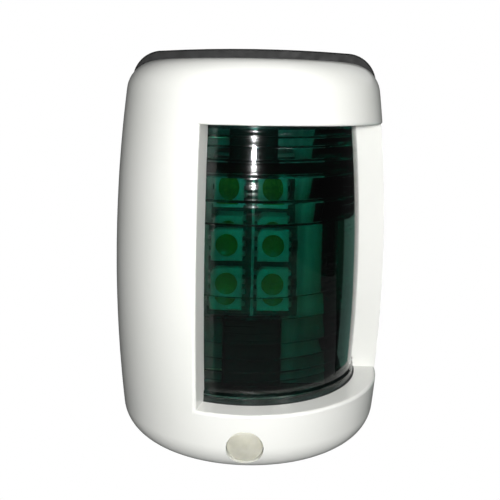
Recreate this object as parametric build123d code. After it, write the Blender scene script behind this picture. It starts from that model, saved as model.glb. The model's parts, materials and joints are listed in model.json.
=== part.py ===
from build123d import *
from math import cos, radians, sin, sqrt, tan
import os

# Side-mounted starboard navigation light. Millimetres, +Z up, forward (bow) is +X.
# The origin is the centre of the wall face: the wall is the plane y = 0, and the light
# stands out from it towards -Y. "Depth" below is the distance from the wall, so y = -depth.

over = 1.0                  # how far a cutting shape runs past a face
fit = 0.1                   # room around a piece that is set into another
running_gap = 0.05          # room around a piece that turns or slides in another

# Layers, as depths from the wall
gasket_front = 1.0
base_front = 4.0
axis_depth = 5.8            # flange plane; the housing and lens are turned about an axis in it
board_back = 8.3
board_front = 9.3

# Housing: a half barrel with flat ends
housing_radius = 22.25      # at the barrel's widest height
barrel_radius = 225.0       # of the barrel's long arc
barrel_middle = -3.0        # its widest height
housing_top = 30.0
housing_bottom = -30.5
housing_front = axis_depth + housing_radius
top_corner = 5.0
bottom_corner = 5.0
wall = 2.0
shelf = 1.5                 # hood ceiling and ledge floor

# Window: at the lens it runs from 21 degrees behind the normal to 90 degrees ahead of it. The
# diodes are wide, so their light past that edge fills the lawful sector of 112.5 degrees.
window_bottom = -20.85
window_top = 20.6
sector_angle = -21.0
window_wall_angle = -13.0
edge_rounding = 0.4

# Lens
lens_radius = 18.0
lens_barrel = 228.0
lens_wall = 1.6
lens_gap = 0.05
lens_hidden_angle = -45.0
optical_centre = 0.4
prism_edges = (5.3, 8.7, 12.5, 14.8, 16.8, 18.2)    # distances from the optical centre
prism_angles = (20, 25, 40, 27, 27, 27)
prism_depth = 1.6           # at most
prism_draft = 0.2
prism_rounding = 0.12
centre_depth = 0.4          # of the plain middle, between the innermost prisms
plain_end = 0.7             # the lens's plain top and bottom strips, beyond the prisms
foot_height = 1.6
foot_step = 0.4

# Base plate
base_top = 31.9
base_crown = 0.5            # the top edge's rise at the centre
base_rounding = 0.3
groove_outer = 0.4          # insets of the seal groove from the housing's outline
groove_inner = 1.6
groove_depth = 1.0
hole_x, hole_z = 13.0, 24.5    # one wall screw at upper left, one at lower right
hole_radius = 1.7
countersink_radius = 3.2
countersink_depth = 1.5
cable_x, cable_z = -16.2, -6.0
cable_radius = 1.8
grommet_neck = 2.8
grommet_flange = 3.6
grommet_lip = 1.0
rib_half = 4.0              # locating rib for the cover, behind the hood
rib_bottom, rib_top = 26.0, 27.5
rib_height = 4.0
shade_radius = 14.4         # of the two half discs that close the lamp chamber
shade_gap = 0.3
shade_thickness = 0.7

# Cover screw, M3 x 8, and its cap
screw_z = -26.1
screw_radius = 1.5
screw_length = 8.0
screw_chamfer = 0.4
head_radius = 2.5
head_height = 2.0
head_rounding = 0.7
recess_reach = 1.3          # of the cross recess's arms
recess_half = 0.3
recess_depth = 1.2
insert_radius = 2.0
insert_back = 2.0
insert_groove = 0.25
boss_radius = 2.9
boss_front = 7.0
boss_room = 0.25
web_back = 7.4
web_front = 9.4
web_hole = 1.7
seal_washer = 0.8
screw_seat = web_front + seal_washer
cap_bore = 2.75
cap_back = 17.8
cap_depth = 26.25           # of the middle of the sloping face
cap_slope = 17.5
cap_skin = 0.9
cap_head = 3.0
cap_chamfer = 0.2
boss_outer = 4.2

# Light source: two strips of three light-emitting diodes (LEDs)
led_size = 5.0
led_height = 1.6
led_middle = 0.8            # height of the middle row
led_pitch = 6.15
led_rows = 3
led_notch = 1.0
emitter_radius = 1.8
emitter_recess = 0.6
emitter_height = 0.5
strip_width = 6.9
strip_length = 19.2
strip_left_edges = (-6.75, 0.62)
led_inset = 3.0             # from a strip's left edge to its diode column
pad_pitch = 1.6
pad_size = 0.9
pad_height = 0.45
resistor_width = 0.8
resistor_length = 1.6
resistor_height = 0.5
resistor_inset = 0.65       # from a package's right side
carrier_back = 7.3
tongue_half = 3.2
tongue_reach = 1.6

# Posts that hold the light source
upper_post_sides = (-3.7, 4.3)
lower_post_sides = (-4.0, 5.0)
post_front = 12.0
post_inner = 9.75           # distance of each post's near end from the middle diodes
post_end_gap = 1.2          # from a post's far end to the window's top or bottom
post_rounding = 0.6
slot_reach = tongue_reach + 0.2
cavity_half = 2.1
cavity_wall = 1.5
post_screw_x = 2.9
post_screw_offset = 4.6     # from a post's near end
post_screw_radius = 0.8
post_screw_head = 1.6
post_screw_cone = 1.0
post_screw_length = 8.0

# Contacts: bent spring strips with a solder tail
strip_metal = 0.4
contact_half = 1.9
contact_back = base_front + 1.2
press_back = 7.0
contact_end_gap = 2.2       # from a post's far end to the tail
lug_reach = 8.0
lug_width = 1.0
lug_hole = (7.5, 6.3)
lug_rim = 0.3
terminal_half = 2.5
terminal_depth = 0.6

reflector_half = 12.3
reflector_front = 5.0
reflector_inset = 1.2


def block(x0, x1, depth0, depth1, z0, z1):
    """A box between two x values, two depths and two heights."""
    middle = ((x0 + x1) / 2, -(depth0 + depth1) / 2, (z0 + z1) / 2)
    return Pos(*middle) * Box(abs(x1 - x0), abs(depth1 - depth0), abs(z1 - z0))


def rod(x, z, depth0, depth1, radius):
    """A cylinder square to the wall."""
    return Pos(x, -(depth0 + depth1) / 2, z) * Rot(90, 0, 0) * Cylinder(radius, depth1 - depth0)


def cone(x, z, depth0, depth1, radius0, radius1):
    """A cone square to the wall, radius0 at depth0 and radius1 at depth1."""
    return Pos(x, -(depth0 + depth1) / 2, z) * Rot(90, 0, 0) * Cone(radius0, radius1, depth1 - depth0)


def point(x, z, depth=axis_depth):
    return (x, -depth, z)


def front_face(shape):
    return shape.faces().sort_by(Axis.Y)[0]


def back_face(shape):
    return shape.faces().sort_by(Axis.Y)[-1]


# Outlines of the housing

def corner_arc(inset, end, rounding):
    """The barrel's corner: its start on the barrel, its middle and its end on the flat."""
    centre_x = housing_radius - barrel_radius
    side = 1 if end > 0 else -1
    r = rounding - inset
    corner_z = end - side * (inset + r)
    reach = barrel_radius - inset
    rise = corner_z - barrel_middle
    corner_x = centre_x + sqrt((reach - r) ** 2 - rise ** 2)
    scale = reach / (reach - r)
    on_barrel = (centre_x + (corner_x - centre_x) * scale, barrel_middle + rise * scale)
    middle = (corner_x + r * sin(radians(45)), corner_z + side * r * sin(radians(45)))
    on_flat = (corner_x, corner_z + side * r)
    return on_barrel, middle, on_flat


def side_edges(inset, top, sign):
    """One side of the outline, from the bottom flat up to the top flat, and its two ends."""
    low_barrel, low_middle, low_flat = corner_arc(inset, housing_bottom, bottom_corner)
    high_barrel, high_middle, high_flat = corner_arc(inset, top, top_corner)
    spots = (low_flat, low_middle, low_barrel, (housing_radius - inset, barrel_middle),
             high_barrel, high_middle, high_flat)
    spots = [point(sign * x, z) for x, z in spots]
    return [ThreePointArc(*spots[i:i + 3]) for i in (0, 2, 4)], spots[0], spots[-1]


def outline(inset=0.0, top=housing_top, crown=0.0):
    """The front outline as a face in the flange plane."""
    right, right_low, right_high = side_edges(inset, top, 1)
    left, left_low, left_high = side_edges(inset, top, -1)
    bottom = Line(left_low, right_low)
    if crown:
        high = ThreePointArc(left_high, point(0, right_high[2] + crown), right_high)
    else:
        high = Line(left_high, right_high)
    return make_face([*right, *left, bottom, high])


def half_barrel(inset=0.0):
    """The half barrel in front of the flange plane, run straight back to the base."""
    edges, low, high = side_edges(inset, housing_top, 1)
    face = make_face([*edges, Line(high, point(0, high[2])), Line(point(0, high[2]), point(0, low[2])),
                      Line(point(0, low[2]), low)])
    front = revolve(face, Axis((0, -axis_depth, 0), (0, 0, -1)), 180)
    back = extrude(outline(inset), axis_depth - base_front, dir=(0, 1, 0))
    return front + back


def slab(inset, depth0, depth1, top, crown=0.0):
    """A plate of the light's outline between two depths."""
    face = Pos(0, axis_depth - depth0, 0) * outline(inset, top, crown)
    return extrude(face, depth1 - depth0, dir=(0, -1, 0))


# Housing

def lens_r(z):
    """Outer radius of the lens at a height."""
    return lens_radius - lens_barrel + sqrt(lens_barrel ** 2 - (z - barrel_middle) ** 2)


def lens_room():
    """The space for the lens: its outer shape and a small gap, with a straight run back."""
    low, foot, high = window_bottom, window_bottom + foot_height, window_top
    foot_r = lens_r(low) + foot_step + lens_gap
    foot_end, top_end = (lens_r(foot) + lens_gap, foot), (lens_r(high) + lens_gap, high)
    lower = [point(*spot) for spot in ((0, low), (foot_r, low), (foot_r, foot), foot_end)]
    upper = [point(*spot) for spot in (top_end, (0, high), (0, low))]
    arc = ThreePointArc(lower[-1], point(lens_radius + lens_gap, barrel_middle), upper[0])
    half = make_face([*Polyline(*lower).edges(), arc, *Polyline(*upper).edges()])
    front = revolve(half, Axis((0, -axis_depth, 0), (0, 0, -1)), 180)
    return front + extrude(half + half.mirror(Plane.YZ), axis_depth - base_front, dir=(0, 1, 0))


def right_of(offset):
    """All that lies right of the window's left wall plane, moved right by offset."""
    size = 4 * housing_radius
    turn = radians(sector_angle)
    edge = Pos(lens_radius * sin(turn), -axis_depth - lens_radius * cos(turn), 0)
    return edge * Rot(0, 0, window_wall_angle) * Pos(offset + size / 2, 0, 0) * Box(size, size, size)


def between(bottom, top, back=0.0):
    """All that lies between two heights, in front of a depth."""
    reach = 2 * housing_radius
    return block(-reach, reach, back, reach, bottom, top)


def housing_rooms():
    """The hollows behind the hood, behind the ledge and in the opaque left side."""
    inner = half_barrel(wall)
    hood = inner & between(window_top + shelf, housing_top)
    ledge = inner & between(housing_bottom, window_bottom - shelf)
    left = (inner & between(window_bottom, window_top)) - right_of(-wall)
    return hood, ledge, left


def screw_passage():
    """The cap's bore, the screw's hole in the web and the socket for the base boss."""
    bore = rod(0, screw_z, web_front, housing_front, cap_bore)
    hole = rod(0, screw_z, web_back - over, web_front + over, web_hole)
    socket = rod(0, screw_z, base_front - over, web_back, boss_radius + boss_room)
    return bore + hole + socket


def is_window_rim(edge):
    """The window's edges that lie on the housing's outer surface."""
    spot = edge.position_at(0.5)
    near = 0.02
    at_height = window_bottom - near < spot.Z < window_top + near
    reach = sqrt(spot.X ** 2 + (spot.Y + axis_depth) ** 2)
    surface = housing_radius - barrel_radius + sqrt(barrel_radius ** 2 - (spot.Z - barrel_middle) ** 2)
    in_front = -spot.Y > axis_depth + fit and abs(spot.X) < housing_radius - over
    return at_height and abs(reach - surface) < near and in_front


def housing():
    outer = half_barrel()
    hood, ledge, left = housing_rooms()
    window = right_of(0) & between(window_bottom, window_top, axis_depth)
    shell = outer - hood - ledge - left - lens_room() - window
    boss = outer & rod(0, screw_z, base_front, housing_front, boss_outer)
    body = shell + boss - screw_passage()
    rim = [edge for edge in body.edges() if is_window_rim(edge)]
    return fillet(rim, edge_rounding)


# Lens

def thin_r():
    """Inner radius of the lens between its prisms."""
    return lens_r(window_top) - lens_wall


def prism_teeth(end):
    """Half of the lens's saw-tooth side: radii and distances from the optical centre, end first."""
    thin = thin_r()
    teeth = [(thin, end)]
    spans = zip(prism_edges, (*prism_edges[1:], end - plain_end), prism_angles)
    for near, far, angle in reversed(list(spans)):
        tip = near + prism_draft
        slope = tan(radians(angle))
        depth = min(prism_depth, 0.95 * (far - tip) * slope)
        teeth += [(thin, tip + depth / slope), (thin - depth, tip), (thin, near)]
    return [*teeth[:-1], (thin - centre_depth, prism_edges[0])]


def prism_profile():
    """The saw-tooth inner side of the lens, from top to bottom."""
    upper = prism_teeth(window_top - optical_centre)
    lower = prism_teeth(optical_centre - window_bottom)
    return ([point(r, optical_centre + z) for r, z in upper]
            + [point(r, optical_centre - z) for r, z in reversed(lower)])


def lens():
    """The lens wall turned about the axis, with prisms inside and a foot on the ledge."""
    low, high = window_bottom, window_top
    foot = low + foot_height
    outer_foot = lens_r(low) + foot_step
    outer = [Line(point(outer_foot, low), point(outer_foot, foot - foot_step)),
             Line(point(outer_foot, foot - foot_step), point(lens_r(foot), foot)),
             ThreePointArc(point(lens_r(foot), foot), point(lens_radius, barrel_middle),
                           point(lens_r(high), high))]
    inner = prism_profile()
    edges = [*outer, Line(point(lens_r(high), high), inner[0]), *Polyline(*inner).edges(),
             Line(inner[-1], point(outer_foot, low))]
    face = make_face(edges)
    tips = [corner for corner in face.vertices() if corner.X < thin_r() - centre_depth - fit]
    face = fillet(tips, prism_rounding)
    turned = revolve(face, Axis((0, -axis_depth, 0), (0, 0, -1)), 90 - lens_hidden_angle)
    return turned + extrude(face, axis_depth - base_front, dir=(0, 1, 0))


# Cover screw and cap

def screw_cap():
    """A plug whose front is cut to the slope of the housing."""
    size = 4 * cap_bore
    plug = rod(0, screw_z, cap_back, cap_depth + 2 * over, cap_bore - running_gap)
    hollow = rod(0, screw_z, cap_back, cap_depth - cap_head, cap_bore - cap_skin)
    slope = Pos(0, -cap_depth, screw_z) * Rot(cap_slope, 0, 0)
    plug = plug - hollow - slope * Pos(0, -size / 2, 0) * Box(size, size, size)
    return chamfer(front_face(plug).outer_wire().edges(), cap_chamfer)


def cover_screw():
    """A pan head with a cross recess, and a plain shank of the thread's outer size."""
    shank = rod(0, screw_z, screw_seat - screw_length, screw_seat, screw_radius)
    shank = chamfer(back_face(shank).edges(), screw_chamfer)
    head_front = screw_seat + head_height
    head = rod(0, screw_z, screw_seat, head_front, head_radius)
    head = fillet(front_face(head).edges(), head_rounding)
    recess_back = head_front - recess_depth
    for wide, high in ((recess_reach, recess_half), (recess_half, recess_reach)):
        head -= block(-wide, wide, recess_back, head_front + over, screw_z - high, screw_z + high)
    return shank + head


def screw_seal():
    ring = rod(0, screw_z, web_front, screw_seat, head_radius + fit)
    return ring - rod(0, screw_z, web_front, screw_seat, screw_radius + running_gap)


def threaded_insert():
    """A brass sleeve with a groove round its middle."""
    third = (boss_front - insert_back) / 3
    sleeve = rod(0, screw_z, insert_back, boss_front, insert_radius)
    middle = (insert_back + third, boss_front - third)
    groove = rod(0, screw_z, *middle, insert_radius) - rod(0, screw_z, *middle, insert_radius - insert_groove)
    return sleeve - groove - rod(0, screw_z, insert_back, boss_front, screw_radius + running_gap)


# Base plate, seals and grommet

def wall_holes(depth0, depth1, radius):
    """The two wall screw holes, at upper left and lower right."""
    return rod(-hole_x, hole_z, depth0, depth1, radius) + rod(hole_x, -hole_z, depth0, depth1, radius)


def countersinks():
    """The cones in the base plate's front that take the wall screws' heads."""
    depths = (base_front - countersink_depth, base_front)
    radii = (hole_radius, countersink_radius)
    return cone(-hole_x, hole_z, *depths, *radii) + cone(hole_x, -hole_z, *depths, *radii)


def wall_gasket():
    sheet = slab(groove_outer, 0, gasket_front, base_top, base_crown)
    cable_hole = rod(cable_x, cable_z, 0, gasket_front, grommet_flange + fit)
    return sheet - wall_holes(0, gasket_front, hole_radius) - cable_hole


def seal_ring(outer_inset, inner_inset):
    """A ring along the housing's rear rim."""
    ring = slab(outer_inset, base_front - groove_depth, base_front, housing_top)
    return ring - slab(inner_inset, base_front - groove_depth, base_front, housing_top)


def shade(bottom):
    """A dark half disc near the hood or the ledge, to keep stray light in."""
    top = bottom + shade_thickness
    disc = Pos(0, -axis_depth, (bottom + top) / 2) * Cylinder(shade_radius, shade_thickness)
    ahead = disc & between(bottom, top, axis_depth)
    return ahead + block(-shade_radius, shade_radius, base_front, axis_depth, bottom, top)


def base_plate():
    plate = slab(0, gasket_front, base_front, base_top, base_crown)
    plate = fillet(front_face(plate).outer_wire().edges(), base_rounding)
    plate -= seal_ring(groove_outer, groove_inner)
    plate += rod(0, screw_z, base_front, boss_front, boss_radius)
    plate += block(-rib_half, rib_half, base_front, base_front + rib_height, rib_bottom, rib_top)
    plate += shade(window_bottom + shade_gap)
    plate += shade(window_top - shade_gap - shade_thickness)
    plate -= rod(0, screw_z, insert_back, boss_front, insert_radius)
    plate -= wall_holes(gasket_front, base_front, hole_radius)
    plate -= countersinks()
    plate -= rod(cable_x, cable_z, gasket_front, base_front, grommet_neck)
    return plate - post_screws()


def base_seal():
    return seal_ring(groove_outer + running_gap, groove_inner - running_gap)


def cable_grommet():
    """A rubber bush with a flange on each side of the base plate."""
    front = base_front + grommet_lip
    bush = rod(cable_x, cable_z, fit, front, grommet_neck)
    bush += rod(cable_x, cable_z, fit, gasket_front, grommet_flange)
    bush += rod(cable_x, cable_z, base_front, front, grommet_flange)
    return bush - rod(cable_x, cable_z, 0, front, cable_radius)


# Posts and contacts; sign is 1 for the upper one and -1 for the lower one

def post_span(sign):
    """The heights of a post's near and far ends."""
    near = led_middle + sign * post_inner
    end = window_top if sign > 0 else window_bottom
    return near, end - sign * post_end_gap


def tail_z(sign):
    """The height of a contact's tail."""
    return post_span(sign)[1] - sign * contact_end_gap


def post(sign):
    """A moulded tower, hollow from behind for its contact and slotted for the carrier."""
    near, far = post_span(sign)
    left, right = upper_post_sides if sign > 0 else lower_post_sides
    tower = block(left, right, base_front, post_front, near, far)
    tower = fillet(front_face(tower).edges(), post_rounding)
    slot_end = near + sign * slot_reach
    slot_half = tongue_half + fit
    tower -= block(-slot_half, slot_half, carrier_back - fit, board_back + fit, near, slot_end)
    hollow_end = far - sign * cavity_wall
    tower -= block(-cavity_half, cavity_half, base_front, post_front - cavity_wall, slot_end, hollow_end)
    tail = tail_z(sign)
    slit_half = strip_metal / 2 + fit
    slit_front = contact_back + lug_width + fit
    tower -= block(left - over, 0, base_front, slit_front, tail - slit_half, tail + slit_half)
    return tower - post_screws()


def post_screws():
    """Four countersunk screws from behind the base, two in each post."""
    screws = []
    for sign in (1, -1):
        z = post_span(sign)[0] + sign * post_screw_offset
        for x in (-post_screw_x, post_screw_x):
            shank = rod(x, z, gasket_front, gasket_front + post_screw_length, post_screw_radius)
            depths = (gasket_front, gasket_front + post_screw_cone)
            screws.append(shank + cone(x, z, *depths, post_screw_head, post_screw_radius))
    return Compound(screws)


def contact(sign):
    """A bent spring strip: it presses on the carrier's terminal and ends in a solder tail."""
    touch = post_span(sign)[0] + sign * slot_reach
    tail = tail_z(sign)
    tail_low, tail_high = tail - strip_metal / 2, tail + strip_metal / 2
    front = post_front - cavity_wall
    half = contact_half
    press = block(-half, half, press_back, front, touch, touch + sign * strip_metal)
    riser = block(-half, half, front - strip_metal, front, *sorted((touch, tail + sign * strip_metal / 2)))
    back = block(-half, half, contact_back, front, tail_low, tail_high)
    lug_front = contact_back + lug_width
    lug = block(-lug_reach, -half, contact_back, lug_front, tail_low, tail_high)
    outer, inner = lug_hole
    lug -= block(-outer, -inner, contact_back + lug_rim, lug_front - lug_rim, tail - over, tail + over)
    return press + riser + back + lug


def terminal(sign):
    """The brass end pad on the carrier's tongue."""
    end = post_span(sign)[0] + sign * slot_reach
    return block(-terminal_half, terminal_half, carrier_back, board_back, end - sign * terminal_depth, end)


# Light source

def led_carrier():
    """The metal plate behind the strips, with a tongue at each end."""
    left, right = strip_left_edges[0], strip_left_edges[1] + strip_width
    half = strip_length / 2
    plate = block(left, right, carrier_back, board_back, led_middle - half, led_middle + half)
    low, high = led_middle - post_inner - tongue_reach, led_middle + post_inner + tongue_reach
    plate += block(-tongue_half, tongue_half, carrier_back, board_back, low, high)
    return plate - terminal(1) - terminal(-1)


def led_strip(left):
    bottom = led_middle - strip_length / 2
    return block(left, left + strip_width, board_back, board_front, bottom, bottom + strip_length)


def led_places():
    """The middle of every diode: x and z."""
    for left in strip_left_edges:
        for row in range(led_rows):
            yield left + led_inset, led_middle + (row - (led_rows - 1) / 2) * led_pitch


def led_packages():
    """White bodies with a round recess and one clipped corner each."""
    front = board_front + led_height
    half = led_size / 2
    packages = []
    for x, z in led_places():
        body = block(x - half, x + half, board_front, front, z - half, z + half)
        body -= rod(x, z, front - emitter_recess, front, emitter_radius)
        notch = Pos(x - half, -front, z + half) * Rot(0, 45, 0) * Box(led_notch, led_notch, led_notch)
        packages.append(body - notch)
    return Compound(packages)


def led_emitters():
    back = board_front + led_height - emitter_recess
    return Compound([rod(x, z, back, back + emitter_height, emitter_radius) for x, z in led_places()])


def solder_joints():
    """Three joints on each side of every diode."""
    half = pad_size / 2
    joints = []
    for x, z in led_places():
        for side in (-1, 1):
            near = x + side * led_size / 2
            for height in (z - pad_pitch, z, z + pad_pitch):
                joints.append(block(near, near + side * half, board_front, board_front + pad_height,
                                    height - half, height + half))
    return Compound(joints)


def resistors():
    """One chip resistor beside each diode, near its strip's right edge."""
    front = board_front + resistor_height
    half = resistor_length / 2
    chips = []
    for x, z in led_places():
        left = x + led_size / 2 + resistor_inset
        chips.append(block(left, left + resistor_width, board_front, front, z - half, z + half))
    return Compound(chips)


def reflector_plate():
    """The white plate on the base, cut out for the posts."""
    bottom, top = window_bottom + reflector_inset, window_top - reflector_inset
    plate = block(-reflector_half, reflector_half, base_front, reflector_front, bottom, top)
    for sign in (1, -1):
        sides = upper_post_sides if sign > 0 else lower_post_sides
        plate -= block(*sides, base_front, reflector_front, *post_span(sign))
    return plate


nodes = {
    "wall_gasket": wall_gasket(),
    "base_plate": base_plate(),
    "base_seal": base_seal(),
    "threaded_insert": threaded_insert(),
    "cable_grommet": cable_grommet(),
    "reflector_plate": reflector_plate(),
    "upper_post": post(1),
    "lower_post": post(-1),
    "post_screws": post_screws(),
    "upper_contact": contact(1),
    "lower_contact": contact(-1),
    "upper_terminal": terminal(1),
    "lower_terminal": terminal(-1),
    "led_carrier": led_carrier(),
    "left_led_strip": led_strip(strip_left_edges[0]),
    "right_led_strip": led_strip(strip_left_edges[1]),
    "led_packages": led_packages(),
    "led_emitters": led_emitters(),
    "solder_joints": solder_joints(),
    "resistors": resistors(),
    "housing": housing(),
    "lens": lens(),
    "screw_seal": screw_seal(),
    "cover_screw": cover_screw(),
    "screw_cap": screw_cap(),
}

os.makedirs("parts", exist_ok=True)
for name, shape in nodes.items():
    export_step(shape, f"parts/{name}.step")
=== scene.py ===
import bmesh
import bpy
import json
from math import cos, pi, radians, sin, sqrt, tan
from mathutils import Matrix, Vector


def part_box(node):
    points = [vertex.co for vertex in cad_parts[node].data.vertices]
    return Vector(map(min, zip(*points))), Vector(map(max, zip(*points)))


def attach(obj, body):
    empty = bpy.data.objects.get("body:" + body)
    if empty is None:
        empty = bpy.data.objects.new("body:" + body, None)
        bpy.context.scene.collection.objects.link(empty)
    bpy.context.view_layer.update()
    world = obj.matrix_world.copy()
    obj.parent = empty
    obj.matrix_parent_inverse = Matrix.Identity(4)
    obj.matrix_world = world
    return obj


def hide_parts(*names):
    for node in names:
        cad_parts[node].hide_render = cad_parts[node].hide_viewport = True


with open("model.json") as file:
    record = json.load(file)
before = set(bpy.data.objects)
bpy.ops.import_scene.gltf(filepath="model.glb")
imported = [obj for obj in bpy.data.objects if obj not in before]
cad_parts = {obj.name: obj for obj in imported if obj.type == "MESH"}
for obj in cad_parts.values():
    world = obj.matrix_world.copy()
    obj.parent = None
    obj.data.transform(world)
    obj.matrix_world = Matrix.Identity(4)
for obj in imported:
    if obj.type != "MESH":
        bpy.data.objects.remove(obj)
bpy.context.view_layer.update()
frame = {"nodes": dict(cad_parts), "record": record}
nodes = frame["nodes"]
slots = {part["node"]: part["material_slot"] for part in frame["record"]["subparts"]}

MM = 0.001


def add_object(name, data):
    """Makes an object from a mesh, a light or a camera and puts it in the scene."""
    item = bpy.data.objects.new(name, data)
    bpy.context.scene.collection.objects.link(item)
    return item


def choose_by_ray(tree, ray, usual, special, output):
    """Shows the usual shader, and the special one to one kind of ray."""
    path = tree.nodes.new("ShaderNodeLightPath")
    mix = tree.nodes.new("ShaderNodeMixShader")
    tree.links.new(path.outputs[ray], mix.inputs["Fac"])
    tree.links.new(usual, mix.inputs[1])
    tree.links.new(special, mix.inputs[2])
    tree.links.new(mix.outputs["Shader"], output.inputs["Surface"])


# ---------------------------------------------------------------- materials


class Graph:
    """A new node material with a principled shader and short ways to add nodes."""

    def __init__(self, name, color, roughness, **values):
        self.material = bpy.data.materials.new(name)
        self.material.use_nodes = True
        self.tree = self.material.node_tree
        self.shader = self.tree.nodes["Principled BSDF"]
        self.shader.inputs["Base Color"].default_value = (*color, 1)
        self.shader.inputs["Roughness"].default_value = roughness
        for key, value in values.items():
            self.shader.inputs[key.replace("_", " ")].default_value = value
        self.coords = self.add("ShaderNodeTexCoord").outputs["Object"]

    def add(self, kind, **settings):
        node = self.tree.nodes.new(kind)
        for key, value in settings.items():
            setattr(node, key, value)
        return node

    def link(self, source, target):
        self.tree.links.new(source, target)

    def noise(self, scale, detail=3.0, stretch=(1, 1, 1)):
        """Noise of about scale cells per metre."""
        mapping = self.add("ShaderNodeMapping")
        mapping.inputs["Scale"].default_value = stretch
        self.link(self.coords, mapping.inputs["Vector"])
        noise = self.add("ShaderNodeTexNoise")
        noise.inputs["Scale"].default_value = scale
        noise.inputs["Detail"].default_value = detail
        self.link(mapping.outputs["Vector"], noise.inputs["Vector"])
        return noise.outputs["Fac"]

    def ramp(self, factor, low, high, start=0.35, end=0.65):
        """A colour or grey that goes from low to high as factor does."""
        ramp = self.add("ShaderNodeValToRGB")
        for stop, value, place in zip(ramp.color_ramp.elements, (low, high), (start, end)):
            stop.color = (*value, 1) if isinstance(value, tuple) else (value, value, value, 1)
            stop.position = place
        self.link(factor, ramp.inputs["Fac"])
        return ramp.outputs["Color"]

    def vary_color(self, factor, low, high, start=0.35, end=0.65):
        self.link(self.ramp(factor, low, high, start, end), self.shader.inputs["Base Color"])

    def vary_roughness(self, factor, low, high):
        self.link(self.ramp(factor, low, high), self.shader.inputs["Roughness"])

    def bump(self, factor, strength, distance):
        bump = self.add("ShaderNodeBump")
        bump.inputs["Strength"].default_value = strength
        bump.inputs["Distance"].default_value = distance
        self.link(factor, bump.inputs["Height"])
        self.link(bump.outputs["Normal"], self.shader.inputs["Normal"])


def gloss_white():
    """Moulded white gloss plastic, with the faint waviness and dust of a moulding."""
    g = Graph("housing_white", (0.86, 0.865, 0.82), 0.2, IOR=1.5,
              Coat_Weight=0.3, Coat_Roughness=0.07)
    g.vary_color(g.noise(60, 4), (0.845, 0.85, 0.805), (0.87, 0.87, 0.83))
    g.vary_roughness(g.noise(900, 3), 0.17, 0.23)
    g.bump(g.noise(350, 2), 0.05, 0.0002)
    return g.material


def reflector_white():
    """Streaky white plastic, with painted shade that greys it towards its upper and lower ends."""
    painted_shade_from, painted_shade_to = 7.0 * MM, 12.5 * MM
    painted_end_shade = 0.34
    g = Graph("reflector_white", (0.6, 0.6, 0.6), 0.3, IOR=1.5)
    streaks = g.ramp(g.noise(500, 4, (1, 1, 0.12)), (0.46, 0.48, 0.47), (0.84, 0.86, 0.84))
    # Painted shade: the colour darkens with the distance up or down from the middle, to about a
    # third at the ends.
    height = g.add("ShaderNodeSeparateXYZ")
    g.link(g.coords, height.inputs["Vector"])
    distance = g.add("ShaderNodeMath", operation="ABSOLUTE")
    g.link(height.outputs["Z"], distance.inputs[0])
    share = g.add("ShaderNodeMapRange")
    share.inputs["From Min"].default_value = painted_shade_from
    share.inputs["From Max"].default_value = painted_shade_to
    g.link(distance.outputs["Value"], share.inputs["Value"])
    mix = g.add("ShaderNodeMix", data_type="RGBA", blend_type="MULTIPLY")
    mix.inputs["Factor"].default_value = 1
    g.link(streaks, mix.inputs["A"])
    g.link(g.ramp(share.outputs["Result"], 1.0, painted_end_shade, 0, 1), mix.inputs["B"])
    g.link(mix.outputs["Result"], g.shader.inputs["Base Color"])
    g.bump(g.noise(700, 2, (1, 1, 0.15)), 0.15, 0.0002)
    return g.material


def dark_plastic(name, shade, roughness, **values):
    """Spark-textured dark plastic: a fine grain and slightly paler, rubbed patches."""
    g = Graph(name, (shade, shade, shade), roughness, IOR=1.5, **values)
    darker = (shade * 0.85, shade * 0.86, shade * 0.86)
    paler = (shade * 1.2, shade * 1.2, shade * 1.15)
    g.vary_color(g.noise(150, 5), darker, paler)
    g.vary_roughness(g.noise(700, 3), roughness - 0.06, roughness + 0.08)
    g.bump(g.noise(5000, 2), 0.25, 0.00006)
    return g.material


def rubber(name, shade, cells):
    """Matt rubber with a grain of about cells per metre, and mottling eight times as coarse."""
    g = Graph(name, (shade, shade, shade), 0.75, IOR=1.5)
    g.vary_color(g.noise(cells / 8, 4), (shade * 0.8,) * 3, (shade * 1.3,) * 3)
    g.bump(g.noise(cells, 3), 0.5, 0.00015)
    return g.material


def metal(name, color, roughness, stretch, metallic=1.0):
    """Metal with fine marks drawn out along one direction."""
    g = Graph(name, color, roughness, Metallic=metallic)
    paler = tuple(min(1.0, c * 1.12) for c in color)
    g.vary_color(g.noise(400, 4), tuple(c * 0.86 for c in color), paler)
    g.vary_roughness(g.noise(1500, 3, stretch), roughness - 0.08, roughness + 0.1)
    g.bump(g.noise(3000, 2, stretch), 0.12, 0.00005)
    return g.material


def circuit_board():
    """Dark solder mask over copper tracks, which show as faint raised lines."""
    g = Graph("circuit_board", (0.04, 0.065, 0.07), 0.28, IOR=1.5)
    tracks = g.add("ShaderNodeTexBrick")
    tracks.inputs["Scale"].default_value = 420
    tracks.inputs["Mortar Size"].default_value = 0.03
    mapping = g.add("ShaderNodeMapping")
    mapping.inputs["Rotation"].default_value = (radians(90), 0, 0)
    g.link(g.coords, mapping.inputs["Vector"])
    g.link(mapping.outputs["Vector"], tracks.inputs["Vector"])
    g.vary_color(tracks.outputs["Fac"], (0.04, 0.065, 0.07), (0.09, 0.13, 0.12))
    g.bump(tracks.outputs["Fac"], 0.3, 0.00003)
    return g.material


def led_body():
    """White plastic, nearly matt."""
    g = Graph("led_body", (0.88, 0.88, 0.84), 0.42, IOR=1.5)
    g.vary_color(g.noise(1500, 3), (0.82, 0.82, 0.78), (0.88, 0.88, 0.85))
    g.bump(g.noise(6000, 2), 0.15, 0.00004)
    return g.material


def led_phosphor():
    """Silicone with yellow phosphor in it: glossy, a little cloudy."""
    g = Graph("led_phosphor", (0.34, 0.28, 0.045), 0.24, IOR=1.45)
    g.vary_color(g.noise(1800, 4), (0.28, 0.24, 0.04), (0.38, 0.32, 0.055))
    g.bump(g.noise(900, 2), 0.08, 0.0001)
    return g.material


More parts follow.
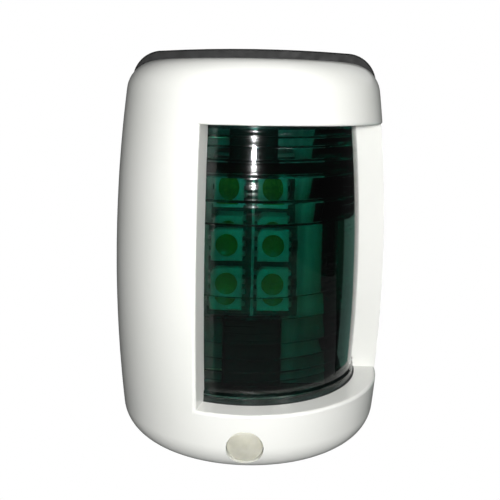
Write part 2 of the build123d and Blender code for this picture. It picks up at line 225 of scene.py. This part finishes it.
def solder():
    """Dull, slightly grainy tin alloy."""
    g = Graph("solder", (0.75, 0.76, 0.78), 0.42, Metallic=1.0)
    g.vary_color(g.noise(2500, 3), (0.62, 0.63, 0.65), (0.82, 0.83, 0.85))
    g.bump(g.noise(2500, 2), 0.5, 0.0001)
    return g.material


def resistor():
    """Black glaze over ceramic."""
    g = Graph("resistor_black", (0.02, 0.02, 0.022), 0.35, IOR=1.5)
    g.vary_color(g.noise(2500, 3), (0.015, 0.015, 0.017), (0.04, 0.04, 0.042))
    return g.material


def cap_plastic():
    """Translucent grey-beige plastic with a soft sheen."""
    g = Graph("cap_plastic", (0.62, 0.60, 0.50), 0.38, IOR=1.48, Subsurface_Weight=0.35)
    g.shader.inputs["Subsurface Radius"].default_value = (0.0012, 0.0011, 0.0008)
    g.vary_color(g.noise(500, 4), (0.56, 0.55, 0.46), (0.66, 0.65, 0.56))
    g.vary_roughness(g.noise(1200, 3), 0.32, 0.46)
    g.bump(g.noise(1600, 3), 0.15, 0.00008)
    return g.material


def tinted_lens():
    """Clear plastic with a deep green dye: the tint deepens with the length of the path inside.

    The outer gloss has fine level ripples, which break a lamp's reflection into beads.
    The lamps' light comes in without being bent, so that the inside is lit without noise.
    """
    dye_color, dye_density = (0.01, 0.647, 0.590, 1), 1330
    g = Graph("lens_green", (1, 1, 1), 0.02, IOR=1.49,
              Transmission_Weight=1.0, Coat_Weight=0.25, Coat_Roughness=0.11)
    g.vary_roughness(g.noise(800, 3), 0.012, 0.03)
    g.bump(g.noise(250, 2), 0.03, 0.0002)
    ripples = g.add("ShaderNodeBump")
    ripples.inputs["Strength"].default_value = 0.9
    ripples.inputs["Distance"].default_value = 0.00012
    g.link(g.noise(1400, 1.5, (0.01, 0.01, 1)), ripples.inputs["Height"])
    g.link(ripples.outputs["Normal"], g.shader.inputs["Coat Normal"])
    lamp_way = g.add("ShaderNodeBsdfTransparent")
    lamp_way.inputs["Color"].default_value = (0.92, 0.92, 0.92, 1)
    output = g.tree.nodes["Material Output"]
    choose_by_ray(g.tree, "Is Shadow Ray", g.shader.outputs["BSDF"], lamp_way.outputs["BSDF"],
                  output)
    absorb = g.add("ShaderNodeVolumeAbsorption")
    absorb.inputs["Color"].default_value = dye_color
    absorb.inputs["Density"].default_value = dye_density
    g.link(absorb.outputs["Volume"], output.inputs["Volume"])
    return g.material


materials = {
    "gasket_rubber": rubber("gasket_rubber", 0.045, 1800),
    "base_plastic": dark_plastic("base_plastic", 0.012, 0.55, Specular_IOR_Level=0.25),
    "seal_rubber": rubber("seal_rubber", 0.035, 2600),
    "brass": metal("brass", (0.78, 0.57, 0.25), 0.3, (1, 1, 6)),
    "grommet_rubber": rubber("grommet_rubber", 0.03, 2200),
    "reflector_white": reflector_white(),
    "post_plastic": dark_plastic("post_plastic", 0.005, 0.6, Specular_IOR_Level=0.25),
    "screw_steel": metal("screw_steel", (0.66, 0.66, 0.67), 0.28, (1, 8, 1)),
    "contact_strip": metal("contact_strip", (0.80, 0.72, 0.52), 0.3, (6, 1, 1)),
    "carrier_aluminium": metal("carrier_aluminium", (0.90, 0.91, 0.92), 0.5, (1, 1, 8), 0.4),
    "circuit_board": circuit_board(),
    "led_body": led_body(),
    "led_phosphor": led_phosphor(),
    "solder": solder(),
    "resistor_black": resistor(),
    "housing_white": gloss_white(),
    "lens_green": tinted_lens(),
    "cap_plastic": cap_plastic(),
}

for name, node in nodes.items():
    node.data.materials.clear()
    node.data.materials.append(materials[slots[name]])

# ---------------------------------------------------------------- pieces with finer shapes

sides = 32                  # points in every ring below
package_chamfer = 0.13 * MM
clip = 0.86                 # how far the clipped corner reaches, as a share of a full one


def solid_boxes(name):
    """The lowest and highest corner of each separate solid in a CAD node."""
    bm = bmesh.new()
    bm.from_mesh(nodes[name].data)
    bmesh.ops.remove_doubles(bm, verts=bm.verts, dist=0.01 * MM)
    left = set(bm.verts)
    boxes = []
    while left:
        found = [left.pop()]
        for vert in found:
            near = {edge.other_vert(vert) for edge in vert.link_edges} & left
            left -= near
            found.extend(near)
        corners = [[pick(v.co[axis] for v in found) for axis in range(3)] for pick in (min, max)]
        boxes.append([Vector(corner) for corner in corners])
    bm.free()
    return sorted(boxes, key=lambda box: (round(box[0].z, 4), round(box[0].x, 4)))


def box_middle(low, high):
    """The middle of a box's back face."""
    return Vector(((low.x + high.x) / 2, high.y, (low.z + high.z) / 2))


def square_ring(half, height, clipped=False):
    """Points round a square, with its upper left corner clipped if asked."""
    upper_left = 0.75 * pi
    ring = []
    for i in range(sides):
        angle = 2 * pi * i / sides
        reach = half / max(abs(cos(angle)), abs(sin(angle)))
        if clipped and abs(angle - upper_left) < 0.01:
            reach *= clip
        ring.append((reach * cos(angle), reach * sin(angle), height))
    return ring


def round_ring(radius, height):
    """Points round a circle."""
    turns = [2 * pi * i / sides for i in range(sides)]
    return [(radius * cos(turn), radius * sin(turn), height) for turn in turns]


def loft(bm, origin, rings, end_height):
    """A closed skin through rings, given as right, up and out from origin.

    It starts with a flat face on the first ring and ends in a middle point at end_height.
    """
    def place(right, up, out):
        return bm.verts.new(origin + Vector((right, -out, up)))

    rows = [[place(*spot) for spot in ring] for ring in rings]
    for row, following in zip(rows, rows[1:]):
        for i in range(sides):
            j = (i + 1) % sides
            bm.faces.new((row[i], row[j], following[j], following[i]))
    top = place(0, 0, end_height)
    for i in range(sides):
        bm.faces.new((rows[-1][i], rows[-1][(i + 1) % sides], top))
    bm.faces.new(reversed(rows[0]))


def finish_piece(bm, name, node, body="base", smooth_angle=35):
    """Makes the object of a piece that stands for a CAD node, on the node's body."""
    bmesh.ops.recalc_face_normals(bm, faces=bm.faces)
    mesh = bpy.data.meshes.new(name)
    bm.to_mesh(mesh)
    bm.free()
    mesh.shade_smooth()
    mesh.set_sharp_from_angle(angle=radians(smooth_angle))
    mesh.materials.append(materials[slots[node]])
    piece = add_object(name, mesh)
    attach(piece, body)
    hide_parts(node)


def led_bodies():
    """Package bodies with chamfered edges and a cone-shaped cup, one corner clipped."""
    cup_depth = 0.58 * MM
    cup_lip, cup_top, cup_bottom = 1.86 * MM, 1.80 * MM, 1.55 * MM
    lip_drop = 0.05 * MM
    bm = bmesh.new()
    for low, high in solid_boxes("led_packages"):
        half, tall = (high.x - low.x) / 2, high.y - low.y
        rings = [square_ring(half, 0, clipped=True),
                 square_ring(half, tall - package_chamfer, clipped=True),
                 square_ring(half - package_chamfer, tall, clipped=True),
                 round_ring(cup_lip, tall),
                 round_ring(cup_top, tall - lip_drop),
                 round_ring(cup_bottom, tall - cup_depth)]
        loft(bm, box_middle(low, high), rings, tall - cup_depth)
    finish_piece(bm, "led_bodies", "led_packages")


def led_domes():
    """Silicone in the cups, which has shrunk to a shallow bowl."""
    gap = 0.03 * MM         # to the wall and the floor of the cup
    taper = 0.27 * MM
    dip = 0.28 * MM
    bowl_rings = 8
    bm = bmesh.new()
    for low, high in solid_boxes("led_emitters"):
        radius, tall = (high.x - low.x) / 2, high.y - low.y
        rings = [round_ring(radius - taper, gap), round_ring(radius - gap, tall)]
        for step in range(1, bowl_rings):
            share = 1 - step / bowl_rings
            rings.append(round_ring(radius * share, tall - dip * (1 - share ** 2)))
        loft(bm, box_middle(low, high), rings, tall - dip)
    finish_piece(bm, "led_domes", "led_emitters")


def solder_fillets():
    """A metal lead up the package's side and a bulging wet-looking joint at its foot."""
    steps = 8
    slump, round_off = 1.3, 0.7     # how fast the joint falls away outwards and to its ends
    spread, pinch = 1.18, 0.35      # how far it runs out, and how much less at its ends
    lead_thickness = 0.1 * MM
    lead_height, lead_width = 1.9, 1.5      # as shares of the joint's height and half width
    bm = bmesh.new()
    packages = [box_middle(*box) for box in solid_boxes("led_packages")]
    for low, high in solid_boxes("solder_joints"):
        middle = box_middle(low, high)
        package = min(packages, key=lambda spot: (spot - middle).length)
        outward = 1 if middle.x > package.x else -1
        wide, half, tall = high.x - low.x, (high.z - low.z) / 2, high.y - low.y
        near = low.x if outward > 0 else high.x
        grid = []
        for i in range(steps + 1):
            u = i / steps
            row = []
            for k in range(steps + 1):
                v = 2 * k / steps - 1
                fall = sqrt(max(0, 1 - u ** 2)) ** slump * sqrt(max(0, 1 - v ** 2)) ** round_off
                reach = spread * wide * u * sqrt(1 - pinch * v ** 2)
                spot = (near + outward * reach, high.y - tall * fall, middle.z + half * v)
                row.append(bm.verts.new(spot))
            grid.append(row)
        for i in range(steps):
            for k in range(steps):
                bm.faces.new((grid[i][k], grid[i + 1][k], grid[i + 1][k + 1], grid[i][k + 1]))
        lower, upper = [row[0] for row in grid], [row[-1] for row in grid[-2::-1]]
        bm.faces.new(lower + grid[-1][1:] + upper + grid[0][-2:0:-1])
        lead = bmesh.ops.create_cube(bm, size=1)["verts"]
        lead_size = Vector((lead_thickness, lead_height * tall, lead_width * half))
        lead_place = Vector((near, high.y - lead_size.y / 2, middle.z))
        for vert in lead:
            vert.co = lead_place + vert.co * lead_size
    finish_piece(bm, "solder_fillets", "solder_joints", smooth_angle=50)


def domed_cap():
    """The screw's cap: a hollow plug whose sloping front bulges and has a rolled edge."""
    slope = tan(radians(17.5))
    hollow, hollow_depth = 1.85 * MM, 5.45 * MM
    edge_roll = ((0, 0.30), (0.04, 0.16), (0.14, 0.06))     # inwards and down, in mm
    bulge, bulge_rings = 0.45 * MM, 10
    widest, crown = 0.94, 0.89      # shares of the radius and of the bulge
    low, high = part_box("screw_cap")
    radius = (high[0] - low[0]) / 2
    length = high[1] - low[1] - radius * slope

    def tilted_ring(reach, out):
        return [(right, up, out + up * slope) for right, up, _ in round_ring(reach, 0)]

    rings = [round_ring(hollow, hollow_depth), round_ring(hollow, 0), round_ring(radius, 0)]
    rings += [tilted_ring(radius - inset * MM, length - drop * MM) for inset, drop in edge_roll]
    face = length - edge_roll[-1][1] * MM
    for step in range(1, bulge_rings):
        share = widest * (1 - step / bulge_rings)
        rings.append(tilted_ring(radius * share, face + bulge * (crown - share ** 2)))
    bm = bmesh.new()
    loft(bm, box_middle(Vector(low), Vector(high)), rings, face + bulge * crown)
    finish_piece(bm, "domed_cap", "screw_cap", body="cap", smooth_angle=50)


def dark_sheet_under_lens():
    """A thin dark sheet under the lens's foot, seen through the lens as a dark line."""
    thickness = 0.06 * MM
    axis_y = -5.8 * MM
    edges = 14.6 * MM, 17.93 * MM           # inner and outer radius
    start, sweep, steps = -44, 134, 27      # degrees from straight ahead to the right
    low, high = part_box("lens")
    back, bottom = high[1], low[2]
    spots = []
    for step in range(steps + 1):
        turn = radians(start + sweep * step / steps)
        spots.append([(reach * sin(turn), axis_y - reach * cos(turn)) for reach in edges])
    spots.append([(reach, back) for reach in edges])
    bm = bmesh.new()
    rows = []
    for pair in spots:
        corners = [(x, y, bottom + lift) for x, y in pair for lift in (0, thickness)]
        rows.append([bm.verts.new(corner) for corner in corners])
    for row, following in zip(rows, rows[1:]):
        for a, b in ((0, 1), (1, 3), (3, 2), (2, 0)):
            bm.faces.new((row[a], row[b], following[b], following[a]))
    for row in (rows[0], rows[-1]):
        bm.faces.new([row[i] for i in (0, 1, 3, 2)])
    bmesh.ops.recalc_face_normals(bm, faces=bm.faces)
    mesh = bpy.data.meshes.new("dark_sheet_under_lens")
    bm.to_mesh(mesh)
    bm.free()
    mesh.materials.append(materials["seal_rubber"])
    piece = add_object("dark_sheet_under_lens", mesh)
    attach(piece, "cover")


led_bodies()
led_domes()
dark_sheet_under_lens()
solder_fillets()
domed_cap()

# ---------------------------------------------------------------- stage, lights and camera


def floor():
    """A pale floor below the light, which hangs in the air as on a wall."""
    level, reach, back = -0.35, 1.5, 0.25
    mesh = bpy.data.meshes.new("floor")
    corners = [(-reach, -reach, level), (reach, -reach, level), (reach, back, level),
               (-reach, back, level)]
    mesh.from_pydata(corners, [], [(0, 1, 2, 3)])
    ground = add_object("floor", mesh)
    g = Graph("floor_paper", (0.9, 0.9, 0.9), 0.9)
    g.vary_color(g.noise(6, 2), (0.86, 0.86, 0.86), (0.90, 0.90, 0.90))
    seen = g.add("ShaderNodeEmission")
    seen.inputs["Color"].default_value = (0.84, 0.84, 0.83, 1)
    choose_by_ray(g.tree, "Is Camera Ray", g.shader.outputs["BSDF"], seen.outputs["Emission"],
                  g.tree.nodes["Material Output"])
    mesh.materials.append(g.material)


def area_light(name, place, target, size, power, shape="RECTANGLE", color=(1, 1, 1)):
    """A lamp at place that points at target, seen in reflections but not by the camera."""
    data = bpy.data.lights.new(name, "AREA")
    data.color = color
    data.shape = shape
    data.size, data.size_y = size
    data.energy = power
    light = add_object(name, data)
    light.location = place
    light.rotation_euler = (Vector(target) - Vector(place)).to_track_quat("-Z", "Y").to_euler()
    light.visible_camera = False


def world_light():
    """A plain white surround for the eye, and a dim even light from all sides.

    Reflections see even less of it, so that the dark parts stay dark.
    """
    surround_light, mirrored_light = 0.105, 0.03
    world = bpy.data.worlds.new("studio")
    bpy.context.scene.world = world
    world.use_nodes = True
    tree = world.node_tree
    surround = tree.nodes["Background"]
    surround.inputs["Color"].default_value = (1, 1, 1, 1)
    dim = tree.nodes.new("ShaderNodeBackground")
    dim.inputs["Color"].default_value = (0.95, 0.98, 1, 1)
    path = tree.nodes.new("ShaderNodeLightPath")
    dimming = tree.nodes.new("ShaderNodeMapRange")
    dimming.inputs["To Min"].default_value = surround_light
    dimming.inputs["To Max"].default_value = mirrored_light
    tree.links.new(path.outputs["Is Glossy Ray"], dimming.inputs["Value"])
    tree.links.new(dimming.outputs["Result"], dim.inputs["Strength"])
    choose_by_ray(tree, "Is Camera Ray", dim.outputs["Background"], surround.outputs["Background"],
                  tree.nodes["World Output"])


def make_camera():
    """Held close in front of the light, a little above its middle and tipped down to it."""
    place = (0.00217, -0.12875, 0.02437)
    pitch, turn, roll = radians(7.81), radians(1.135), radians(1.01)
    sensor_width, focal_length = 36, 53.54      # in mm
    shift = -0.1
    data = bpy.data.cameras.new("camera")
    data.sensor_width = sensor_width
    data.lens = focal_length
    data.shift_y = shift
    camera = add_object("camera", data)
    camera.location = place
    look = Matrix.Rotation(turn, 4, "Z") @ Matrix.Rotation(pi / 2 - pitch, 4, "X")
    camera.rotation_euler = (look @ Matrix.Rotation(roll, 4, "Z")).to_euler()
    bpy.context.scene.camera = camera


bpy.context.scene.view_settings.view_transform = "Standard"
make_camera()
world_light()
floor()

# The flash is beside the camera's lens. The card stands behind on the right and shows as the
# pale green strip near the lens's right edge.
middle = (0, 0, 0)
area_light("flash", place=(0.0056, -0.129, 0.0269), target=middle, size=(0.007, 0.007),
           power=0.136, shape="ELLIPSE")
area_light("lamp_left", place=(-0.318, -0.276, 0.06), target=(0, 0, 0.01), size=(0.065, 0.038),
           power=0.157)
area_light("softbox_right", place=(0.25, -0.35, 0.17), target=middle, size=(0.12, 0.08), power=0.33)
area_light("card_right", place=(0.37, 0.33, -0.14), target=middle, size=(0.38, 0.17), power=0.06,
           color=(0.5, 1, 0.84))
area_light("softbox_top", place=(0.05, -0.30, 0.55), target=middle, size=(0.4, 0.3), power=0.45)
area_light("softbox_back", place=(0.3, 0.40, 0.30), target=middle, size=(0.4, 0.3), power=0.2)
